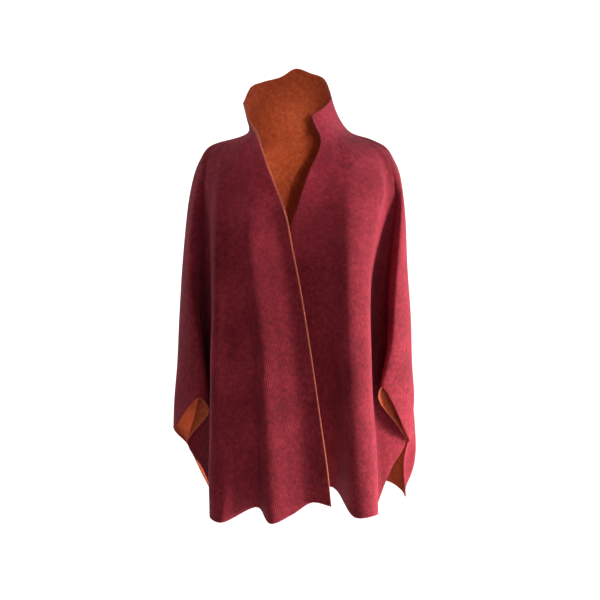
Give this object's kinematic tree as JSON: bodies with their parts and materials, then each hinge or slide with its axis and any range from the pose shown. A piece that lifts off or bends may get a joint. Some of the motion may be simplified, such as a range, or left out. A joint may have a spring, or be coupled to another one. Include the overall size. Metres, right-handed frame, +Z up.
{
  "type": "wool cape",
  "caption": "Open-front wool knit cape with a grown-on funnel collar, overarm seams, hand openings and side vents, wine red outside and orange inside, shown as worn.",
  "frame": {"origin": "base of the neck, centred between the neck ends of the shoulder seams and level with them, where the cape rests on its wearer", "axes": "+X to the viewer's right, which is the wearer's left; +Y to the back; +Z up"},
  "size_m": [0.525, 0.3817, 0.9232],
  "materials": {
    "wool_front_right": "matt double-faced wool knit",
    "wool_front_left": "matt double-faced wool knit",
    "wool_back": "matt double-faced wool knit"
  },
  "bodies": {
    "root": {"front_right": "wool_front_right", "front_left": "wool_front_left", "back": "wool_back"}
  },
  "joints": []
}
